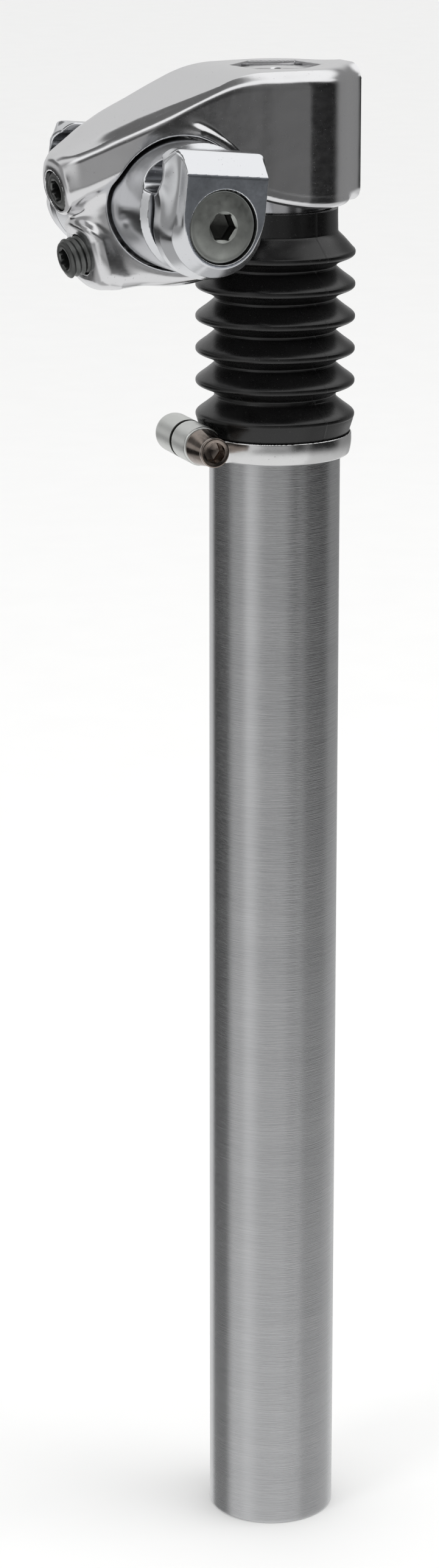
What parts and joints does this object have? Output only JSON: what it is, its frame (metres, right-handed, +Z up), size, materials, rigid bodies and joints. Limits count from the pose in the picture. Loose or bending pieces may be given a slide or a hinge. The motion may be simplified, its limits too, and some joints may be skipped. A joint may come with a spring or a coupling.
{
  "type": "suspension seatpost",
  "caption": "Telescopic sprung seatpost with a rubber bellows, a set-back forged head and a side-clamping saddle clamp whose tilt is set by two grub screws.",
  "frame": {"origin": "middle of the outer tube's bottom end, on the tube's axis", "axes": "+Z up the tube towards the saddle, +X towards the front of the bicycle, +Y to the rider's left"},
  "size_m": [0.0678, 0.0626, 0.318],
  "materials": {
    "tube_aluminium": "satin, brushed around the tube",
    "polished_aluminium": "mirror polished forging",
    "clamp_aluminium": "turned and polished, slightly satin",
    "stanchion_chrome": "ground and hard chromed",
    "zinc_steel": "satin zinc plating",
    "black_steel": "blackened and oiled",
    "nickel_steel": "dark nickel plating",
    "barrel_steel": "machined",
    "spring_steel": "shot peened and oiled",
    "acetal": "smooth, self-lubricating",
    "boot_rubber": "satin black",
    "seal_rubber": "matt black",
    "elastomer": "cast, slightly translucent",
    "key_brass": "milled"
  },
  "bodies": {
    "post": {"outer_tube": "tube_aluminium", "pinch_collar": "polished_aluminium", "guide_bush": "acetal", "guide_keys": "key_brass", "wiper_seal": "seal_rubber", "rubber_boot": "boot_rubber", "main_spring": "spring_steel"},
    "collar_screw": {"collar_screw": "nickel_steel"},
    "preload": {"preload_plug": "tube_aluminium", "guide_rod": "stanchion_chrome", "lower_spring_seat": "acetal", "bottom_out_bumper": "elastomer"},
    "slider": {"stanchion": "stanchion_chrome", "lower_bush": "acetal", "bush_circlip": "spring_steel", "top_out_ring": "seal_rubber", "upper_spring_seat": "acetal", "head": "polished_aluminium", "crown_plug": "polished_aluminium"},
    "clamp": {"tilt_barrel": "barrel_steel", "inner_clamp_right": "clamp_aluminium", "inner_clamp_left": "clamp_aluminium"},
    "jaw_right": {"outer_clamp_right": "clamp_aluminium", "clamp_bolt": "zinc_steel"},
    "jaw_left": {"outer_clamp_left": "clamp_aluminium", "clamp_nut": "zinc_steel"},
    "screw_upper": {"tilt_screw_upper": "black_steel"},
    "screw_lower": {"tilt_screw_lower": "black_steel"}
  },
  "joints": [
    {"name": "suspension_slide", "type": "slide", "parent": "post", "child": "slider", "axis": [0, 0, -1], "range_m": [0, 0.03], "stiffness_N_per_m": 12000, "springref_m": -0.01, "deforming": ["rubber_boot", "main_spring"]},
    {"name": "clamp_tilt", "type": "hinge", "parent": "slider", "child": "clamp", "pos_m": [-0.028, 0, 0.293], "axis": [0, 1, 0], "range_deg": [-10, 15]},
    {"name": "upper_screw_slide", "type": "slide", "parent": "slider", "child": "screw_upper", "axis": [0.9781, 0, 0.2079], "range_m": [-0.0013, 0.0019]},
    {"name": "lower_screw_slide", "type": "slide", "parent": "slider", "child": "screw_lower", "axis": [-0.9781, 0, -0.2079], "range_m": [-0.0013, 0.0019]},
    {"name": "jaw_right_slide", "type": "slide", "parent": "clamp", "child": "jaw_right", "axis": [0, -1, 0], "range_m": [0, 0.0068]},
    {"name": "jaw_left_slide", "type": "slide", "parent": "clamp", "child": "jaw_left", "axis": [0, 1, 0], "range_m": [0, 0.0068]},
    {"name": "preload_slide", "type": "slide", "parent": "post", "child": "preload", "axis": [0, 0, 1], "range_m": [0, 0.008]},
    {"name": "collar_screw_turn", "type": "hinge", "parent": "post", "child": "collar_screw", "pos_m": [-0.01888, 0.00215, 0.2422], "axis": [-0.1132, -0.9936, 0], "range_deg": [0, 180]}
  ],
  "couplings": [
    {"joint": "upper_screw_slide", "follows": "clamp_tilt", "m_per_rad": 0.0069},
    {"joint": "lower_screw_slide", "follows": "clamp_tilt", "m_per_rad": 0.0069},
    {"joint": "jaw_left_slide", "follows": "jaw_right_slide", "ratio": 1}
  ]
}
